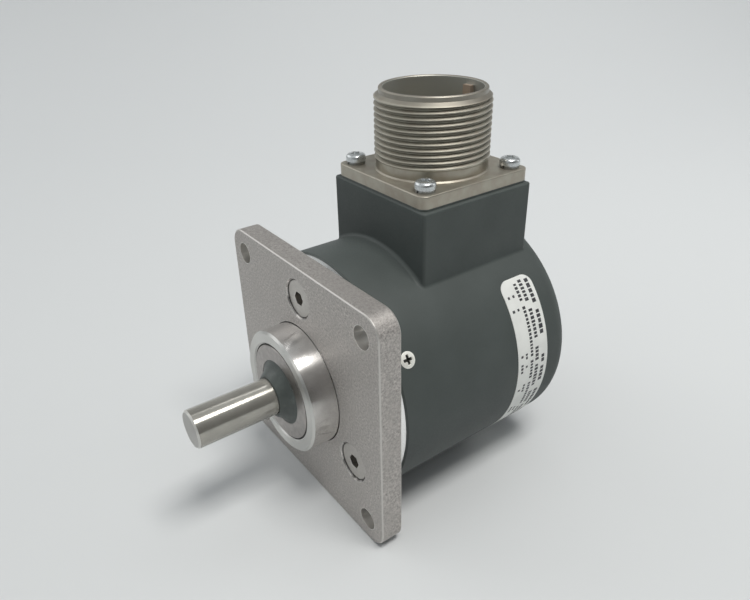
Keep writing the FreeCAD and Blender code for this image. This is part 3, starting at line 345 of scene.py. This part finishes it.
def warm_nickel():
    """Electroless nickel over machined alloy, slightly yellow, with painted shade in the thread's
    roots and on the rim, painted highlights on the crests, and a key lighter partly as a painted
    glint.
    """
    base = (0.42, 0.40, 0.34)
    s = Surface("warm_nickel", base, 0.85, 0.32)
    lines = s.rings("Z", CONNECTOR_Y, 7.0)
    cloud = s.noise(0.35, 3.0)
    color = s.tint(s.spread(cloud, 0.35, 0.68, 0.0, 1.0), (0.37, 0.335, 0.28), base)
    away = s.radius("Z", CONNECTOR_Y)
    height = s.parts(s.mm)["Z"]
    threaded = s.math("MULTIPLY", s.math("GREATER_THAN", height, THREAD_LOW),
                      s.math("LESS_THAN", height, THREAD_HIGH))
    # Painted shade in the thread's roots
    root = s.math("MULTIPLY", threaded, s.spread(away, THREAD_ROOT_R, THREAD_CREST_R, 0.55, 0.0))
    color = s.tint(root, color, (0.22, 0.215, 0.18))
    # Painted shade on the rim above the thread
    color = s.tint(s.math("MULTIPLY", s.math("GREATER_THAN", height, THREAD_HIGH), 0.45),
                   color, (0.20, 0.19, 0.17))
    # Painted highlight on the thread's crests
    crest_highlight = s.math("MULTIPLY", threaded, s.math("GREATER_THAN", away, THREAD_CREST_R))
    color = s.tint(crest_highlight, color, (0.47, 0.45, 0.385))
    bore = s.math("LESS_THAN", away, BORE_R + BORE_MARGIN)
    # The key: its own copper tone, made lighter partly as a painted glint
    key = s.math("LESS_THAN", away, BORE_R - BORE_MARGIN)
    color = s.tint(bore, color, (0.44, 0.445, 0.41))
    s.paint(s.tint(key, color, (0.52, 0.42, 0.34)))
    rough = s.tint_value(s.flat("Z"), s.spread(lines, 0.3, 0.7, 0.26, 0.38), 0.5)
    s.rough(s.tint_value(bore, rough, 0.55))
    grit = s.bump(s.noise(5.0, 2.0), 0.12, 0.01)
    s.bump(lines, 0.2, 0.012, grit)
    return s.material


def plated_steel(name, base, roughness, tone=0.1, recess_r=0.0, metallic=1.0):
    """Plated or plain metal with slight clouding, and with painted shade nearer the shaft's axis
    than recess_r where that is given."""
    s = Surface(name, base, metallic, roughness)
    cloud = s.noise(1.4, 3.0)
    color = s.tint(s.spread(cloud, 0.35, 0.7, 0.0, 1.0), shaded(base, 1 - tone), base)
    if recess_r:
        # Painted shade in the recess nearer the shaft's axis than recess_r
        color = s.tint(s.math("LESS_THAN", s.radius("Y"), recess_r), color, shaded(base, 0.12))
    s.paint(color)
    fine = s.noise(6.0, 2.0)
    s.rough(s.spread(fine, 0.3, 0.7, roughness * 0.8, roughness * 1.3))
    s.bump(fine, 0.15, 0.008)
    return s.material


def label_film():
    """White printed film with a faint grain and slightly soiled rim."""
    base = (0.82, 0.83, 0.80)
    s = Surface("label_film", base, 0.0, 0.42)
    fibre = s.noise(3.0, 3.0)
    soil = s.noise(0.25, 4.0)
    color = s.tint(s.spread(soil, 0.4, 0.75, 0.0, 1.0), base, shaded(base, 0.90))
    s.paint(s.tint(s.math("MULTIPLY", s.edge_mask(0.25), 0.3), color, shaded(base, 0.7)))
    s.rough(s.spread(fibre, 0.3, 0.7, 0.36, 0.48))
    s.bump(fibre, 0.1, 0.01)
    return s.material


def print_ink():
    """Thermal-print black, a little uneven."""
    s = Surface("print_ink", (0.03, 0.03, 0.035), 0.0, 0.5)
    wear = s.noise(4.0, 3.0)
    s.paint(s.tint(s.spread(wear, 0.45, 0.8, 0.0, 1.0), (0.02, 0.02, 0.024), (0.16, 0.16, 0.17)))
    s.rough(s.spread(wear, 0.3, 0.7, 0.42, 0.58))
    return s.material


def moulded_plastic(name, base, roughness=0.45):
    """Plain plastic with a fine moulded skin."""
    s = Surface(name, base, 0.0, roughness)
    skin = s.noise(2.2, 3.0)
    s.paint(s.tint(s.spread(skin, 0.3, 0.7, 0.0, 1.0), shaded(base, 0.85), shaded(base, 1.1)))
    s.rough(s.spread(s.noise(5.0), 0.3, 0.7, roughness * 0.85, roughness * 1.2))
    s.bump(skin, 0.15, 0.015)
    return s.material


def circuit_board():
    """Solder mask over woven glass, with copper showing through as lighter green blocks."""
    base = (0.012, 0.13, 0.055)
    s = Surface("circuit_board", base, 0.0, 0.34)
    weave = s.node("ShaderNodeTexBrick")
    weave.inputs["Scale"].default_value = 0.35
    s.feed(weave.inputs["Vector"], s.mm)
    weave.inputs["Color1"].default_value = (*base, 1.0)
    weave.inputs["Color2"].default_value = (*shaded(base, 1.6), 1.0)
    weave.inputs["Mortar"].default_value = (*shaded(base, 0.6), 1.0)
    s.paint(weave.outputs["Color"])
    fibre = s.noise(2.5, 2.0)
    s.rough(s.spread(fibre, 0.3, 0.7, 0.28, 0.42))
    s.bump(fibre, 0.2, 0.02)
    return s.material


GLASS_TINT = (0.86, 0.92, 0.92)


def glass(name):
    """Slightly smeared clear glass, as a Surface to build on."""
    s = Surface(name, GLASS_TINT, 0.0, 0.06)
    s.shader.inputs["Transmission Weight"].default_value = 0.85
    s.shader.inputs["IOR"].default_value = 1.5
    s.rough(s.spread(s.noise(0.2, 3.0), 0.3, 0.7, 0.03, 0.10))
    return s


def coded_glass():
    """Glass code disc with its ring of fine radial lines."""
    s = glass("coded_glass")
    place = s.parts(s.mm)
    turn = s.math("MULTIPLY", s.math("ARCTAN2", place["Z"], place["X"]), CODE_LINES / math.tau)
    line = s.math("GREATER_THAN", s.math("FRACT", turn), 0.5)
    off_track = s.math("ABSOLUTE", s.math("SUBTRACT", s.radius("Y"), TRACK_R))
    track = s.math("LESS_THAN", off_track, TRACK_WIDTH / 2)
    s.paint(s.tint(s.math("MULTIPLY", line, track), GLASS_TINT, (0.03, 0.03, 0.035)))
    return s.material


def wire_insulation():
    """Wire jackets, in a different colour across the row of wires."""
    s = Surface("wire_insulation", (0.5, 0.5, 0.5), 0.0, 0.38)
    ramp = s.node("ShaderNodeValToRGB")
    ramp.color_ramp.interpolation = "CONSTANT"
    colors = ((0.5, 0.02, 0.02), (0.02, 0.02, 0.02), (0.7, 0.7, 0.68), (0.02, 0.22, 0.05),
              (0.02, 0.05, 0.4), (0.65, 0.25, 0.02), (0.6, 0.5, 0.03), (0.25, 0.03, 0.3))
    stops = ramp.color_ramp.elements
    for i, color in enumerate(colors):
        stop = stops[i] if i < 2 else stops.new(i / len(colors))
        stop.position = i / len(colors)
        stop.color = (*color, 1.0)
    across = s.parts(s.mm)["X"]
    s.feed(ramp.inputs[0], s.spread(across, -WIRE_ROW_HALF, WIRE_ROW_HALF, 0.0, 0.999))
    s.paint(ramp.outputs[0])
    s.bump(s.noise(3.0), 0.1, 0.01)
    return s.material


def studio_floor():
    """Matt seamless sheet with a barely visible tooth."""
    s = Surface("studio_floor", (0.66, 0.675, 0.68), 0.0, 0.7)
    s.shader.inputs["Specular IOR Level"].default_value = 0.2
    s.bump(s.noise(0.5, 3.0), 0.05, 0.05)
    return s.material


def dress_parts():
    """Gives every CAD node its material."""
    steel = plated_steel("plain_steel", (0.53, 0.505, 0.475), 0.34)
    zinc = plated_steel("zinc_plate", (0.62, 0.645, 0.65), 0.26, 0.06, metallic=0.85)
    dull_zinc = plated_steel("dull_zinc", (0.36, 0.37, 0.365), 0.3, 0.2)
    bright_zinc = plated_steel("bright_zinc", (0.97, 0.965, 0.90), 0.46, 0.04,
                               COVER_SCREW_RECESS_R, 0.5)
    hardened = plated_steel("bearing_steel", (0.66, 0.66, 0.66), 0.14, 0.05)
    spring = plated_steel("oiled_steel", (0.30, 0.29, 0.28), 0.3)
    brass = plated_steel("brass", (0.70, 0.52, 0.24), 0.24)
    contact = plated_steel("contact_plate", (0.85, 0.66, 0.32), 0.18)
    rubber = moulded_rubber()
    black = moulded_plastic("black_plastic", (0.018, 0.018, 0.02))
    nylon = moulded_plastic("nylon", (0.72, 0.71, 0.66), 0.5)
    board = circuit_board()
    turned = turned_aluminium()
    looks = {
        "flange_plate": tumbled_aluminium(), "flange_screws": steel, "bearing_housing": turned,
        "shaft": ground_steel(), "seal_case": pressed_steel(), "seal_lip": rubber,
        "cover": powder_coat(), "cover_screws": bright_zinc, "cover_oring": rubber,
        "label": label_film(), "connector_shell": warm_nickel(), "connector_gasket": rubber,
        "connector_insert": black, "connector_pins": contact, "connector_screws": zinc,
        "lock_washers": dull_zinc, "signal_wires": wire_insulation(), "seal_spring": spring,
        "wave_spring": spring, "bearing_retaining_ring": spring, "disc_hub": turned,
        "hub_set_screws": spring, "code_disc": coded_glass(),
        "phase_mask": glass("clear_glass").material,
        "light_holder": black, "light_holder_screws": steel, "photodetector": black,
        "led_emitter": moulded_plastic("led_resin", (0.04, 0.05, 0.16), 0.12),
        "sensor_board": board, "driver_board": board, "sensor_board_parts": black,
        "driver_board_parts": black, "board_link_header": black, "board_standoffs": brass,
        "board_spacers": nylon, "board_screws": steel,
    }
    for place in ("front", "rear"):
        for ring in ("outer_ring", "inner_ring", "balls"):
            looks[f"{place}_bearing_{ring}"] = hardened
        looks[f"{place}_bearing_cage"] = nylon
        looks[f"{place}_bearing_shields"] = spring
    for name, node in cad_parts.items():
        node.data.materials.clear()
        node.data.materials.append(looks[name])


# ---------------------------------------------------------------- drawn details

def new_mesh_object(name, vertices, faces, material):
    mesh = bpy.data.meshes.new(name)
    mesh.from_pydata(vertices, [], faces)
    mesh.materials.append(material)
    made = bpy.data.objects.new(name, mesh)
    bpy.context.scene.collection.objects.link(made)
    return made


DEGREES_PER_STEP = 1.5


def curved_bar(radius, thick, start_y, end_y, first, last):
    """Closed thin patch on the drum, from angle first to last in degrees, counted from +X up."""
    steps = int(abs(first - last) / DEGREES_PER_STEP) + 1
    vertices = []
    for i in range(steps + 1):
        angle = math.radians(first + (last - first) * i / steps)
        for r in (radius, radius + thick):
            for y in (start_y, end_y):
                vertices.append((r * math.cos(angle), y, r * math.sin(angle)))
    faces = [(0, 1, 3, 2)]
    for i in range(steps):
        a, b = 4 * i, 4 * (i + 1)
        faces += [(a + 2, a + 3, b + 3, b + 2), (a, b, b + 1, a + 1),
                  (a, a + 2, b + 2, b), (a + 1, b + 1, b + 3, a + 3)]
    end = 4 * steps
    faces.append((end, end + 2, end + 3, end + 1))
    return vertices, faces


# Rows of the label: place across it and height of the blocks as shares of its width, their longest
# length in millimetres, angle of the first one in degrees, and the groups as (blocks, space after
# the group in millimetres)
LABEL_ROWS = (
    (0.84, 0.125, 1.2, 43.0,
     ((5, 1.6), (5, 5.5), (2, 1.0), (4, 3.0), (6, 1.5), (5, 1.5), (8, 0.0))),
    (0.635, 0.12, 0.84, 43.5,
     ((6, 1.8), (8, 2.2), (4, 1.0), (7, 2.0), (5, 1.2), (9, 1.5), (8, 0.0))),
    (0.46, 0.095, 0.76, 42.5, ((5, 1.2), (14, 0.9), (6, 1.2), (9, 1.2), (7, 1.0), (9, 0.0))),
    (0.28, 0.075, 0.75, 38.0,
     ((1, 2.6), (1, 11.0), (2, 1.6), (1, 5.0), (3, 6.0), (2, 5.0), (3, 6.0), (2, 0.0))),
    (0.13, 0.075, 0.75, 38.0,
     ((1, 2.6), (1, 11.0), (1, 1.6), (3, 5.0), (1, 6.0), (3, 5.0), (2, 6.0), (3, 0.0))),
)
BLOCK_SPACE = 0.32             # between the blocks of one group, in millimetres
BLOCK_SEED = 11
INK_THICK = 0.04               # in millimetres, half of it above the label's face


def label_print():
    """Rows of plain blocks in place of the label's printing."""
    chance = random.Random(BLOCK_SEED)
    radius = LABEL_HIGH.x - INK_THICK / 2 * MM
    degrees_per_mm = math.degrees(MM / radius)
    width = LABEL_HIGH.y - LABEL_LOW.y
    vertices, faces = [], []
    for across, height, length, first, groups in LABEL_ROWS:
        middle = LABEL_LOW.y + across * width
        angle = first
        for count, space in groups:
            for _ in range(count):
                step = length * chance.uniform(0.7, 1.0) * degrees_per_mm
                half = height * width / 2 * chance.uniform(0.75, 1.0)
                more, quads = curved_bar(radius, INK_THICK * MM, middle - half, middle + half,
                                         angle, angle - step)
                base = len(vertices)
                vertices += more
                faces += [tuple(base + i for i in quad) for quad in quads]
                angle -= step + BLOCK_SPACE * degrees_per_mm
            angle -= space * degrees_per_mm
    piece = new_mesh_object("label_print", vertices, faces, print_ink())
    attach(piece, "root")


# ---------------------------------------------------------------- studio

# Camera: its place in metres, and its yaw to the right of +Y, pitch and roll in radians
CAMERA_PLACE = (0.12102, -0.06472, 0.09930)
CAMERA_YAW, CAMERA_PITCH, CAMERA_ROLL = -0.9455, -0.5105, -0.0233
SENSOR_WIDTH, LENS = 36.0, 31.692          # in millimetres
CAMERA_NEAR = 0.005

# Studio sheet, in metres: its floor runs from front to the bend, and its backdrop stands at back
SHEET_HALF_WIDTH = 2.4
SHEET_FRONT, SHEET_BACK = -1.6, 1.0
SHEET_BEND_R = 0.7
SHEET_BEND_STEPS = 16
SHEET_HEIGHT = 2.2


def studio_sheet():
    """Floor that sweeps up into a backdrop behind the object, seen from the camera."""
    bend_start = SHEET_BACK - SHEET_BEND_R
    profile = [(SHEET_FRONT, 0.0), (bend_start, 0.0)]
    for i in range(1, SHEET_BEND_STEPS + 1):
        angle = math.pi / 2 * i / SHEET_BEND_STEPS
        profile.append((bend_start + SHEET_BEND_R * math.sin(angle),
                        SHEET_BEND_R - SHEET_BEND_R * math.cos(angle)))
    profile.append((SHEET_BACK, SHEET_HEIGHT))
    vertices, faces = [], []
    for along, up in profile:
        for side in (-SHEET_HALF_WIDTH, SHEET_HALF_WIDTH):
            vertices.append((side, along, up))
    for i in range(len(profile) - 1):
        a = 2 * i
        faces.append((a, a + 1, a + 3, a + 2))
    sheet = new_mesh_object("studio_sheet", vertices, faces, studio_floor())
    for polygon in sheet.data.polygons:
        polygon.use_smooth = True
    sheet.rotation_euler = (0, 0, -CAMERA_YAW)
    sheet.location = (0, 0, FLOOR_Z)


def area_light(name, place, target, size, power, color=(1, 1, 1)):
    """Rectangular light at a place, turned to a target, in metres and watts."""
    data = bpy.data.lights.new(name, "AREA")
    data.shape = "RECTANGLE"
    data.size, data.size_y = size
    data.energy = power
    data.color = color
    light = bpy.data.objects.new(name, data)
    bpy.context.scene.collection.objects.link(light)
    light.location = place
    direction = Vector(target) - Vector(place)
    light.rotation_mode = "QUATERNION"
    light.rotation_quaternion = direction.to_track_quat("-Z", "Y")


# Room light: its colour, the direction of its bright side, its strength there and on the dim side,
# the cosines of the angle to the bright side between which it fades, and how bright it looks itself
ROOM_COLOR = (0.95, 0.985, 1.0)
ROOM_BRIGHT_SIDE = (-0.85, 0.0, 0.5)
ROOM_DIM, ROOM_BRIGHT = 0.03, 0.60
ROOM_FADE_LOW, ROOM_FADE_HIGH = -0.70, 0.45
ROOM_SEEN = 0.58


def soft_world():
    """Room light that fades from its bright side to the open side of the studio. Seen directly it
    is one even pale wall."""
    world = bpy.data.worlds.new("soft_world")
    world.use_nodes = True
    tree = world.node_tree
    background = tree.nodes["Background"]
    background.inputs["Color"].default_value = (*ROOM_COLOR, 1.0)
    direction = tree.nodes.new("ShaderNodeTexCoord").outputs["Generated"]
    facing = tree.nodes.new("ShaderNodeVectorMath")
    facing.operation = "DOT_PRODUCT"
    facing.inputs[1].default_value = Vector(ROOM_BRIGHT_SIDE).normalized()
    tree.links.new(direction, facing.inputs[0])
    fade = tree.nodes.new("ShaderNodeMapRange")
    fade.interpolation_type = "SMOOTHSTEP"
    numbers = (ROOM_FADE_LOW, ROOM_FADE_HIGH, ROOM_DIM, ROOM_BRIGHT)
    for socket, number in zip(fade.inputs[1:5], numbers):
        socket.default_value = number
    tree.links.new(facing.outputs["Value"], fade.inputs[0])
    strength = tree.nodes.new("ShaderNodeMix")
    strength.inputs["B"].default_value = ROOM_SEEN
    tree.links.new(tree.nodes.new("ShaderNodeLightPath").outputs["Is Camera Ray"],
                   strength.inputs["Factor"])
    tree.links.new(fade.outputs[0], strength.inputs["A"])
    tree.links.new(strength.outputs["Result"], background.inputs["Strength"])
    bpy.context.scene.world = world


def make_camera():
    yaw, pitch, roll = CAMERA_YAW, CAMERA_PITCH, CAMERA_ROLL
    forward = Vector((math.sin(yaw) * math.cos(pitch), math.cos(yaw) * math.cos(pitch),
                      math.sin(pitch)))
    right = forward.cross(Vector((0, 0, 1))).normalized()
    up = right.cross(forward)
    tilted_right = math.cos(roll) * right + math.sin(roll) * up
    tilted_up = math.cos(roll) * up - math.sin(roll) * right
    data = bpy.data.cameras.new("camera")
    data.sensor_width = SENSOR_WIDTH
    data.lens = LENS
    data.clip_start = CAMERA_NEAR
    camera = bpy.data.objects.new("camera", data)
    bpy.context.scene.collection.objects.link(camera)
    turn = Matrix((tilted_right, tilted_up, -forward)).transposed()
    camera.matrix_world = Matrix.Translation(CAMERA_PLACE) @ turn.to_4x4()
    bpy.context.scene.camera = camera


def light_studio():
    """Room light, a small key light overhead and large weak panels round the object."""
    soft_world()
    area_light("ceiling_panel", (0.25, 0.04, 0.66), (0.0, 0.01, 0.0), (0.32, 0.18), 3.1,
               (1.0, 0.985, 0.955))
    area_light("backdrop_wash", (-0.10, 0.25, 0.62), (-0.50, 0.98, 0.15), (0.5, 0.3), 1.75)
    area_light("right_softbox", (0.30, 0.75, 0.30), (0.0, 0.03, 0.03), (0.4, 0.4), 0.5)
    area_light("left_window", (-0.60, -0.25, 0.42), (0.0, 0.0, 0.0), (0.6, 0.5), 1.1)


dress_parts()
label_print()
studio_sheet()
make_camera()
light_studio()
bpy.context.scene.view_settings.view_transform = "Standard"
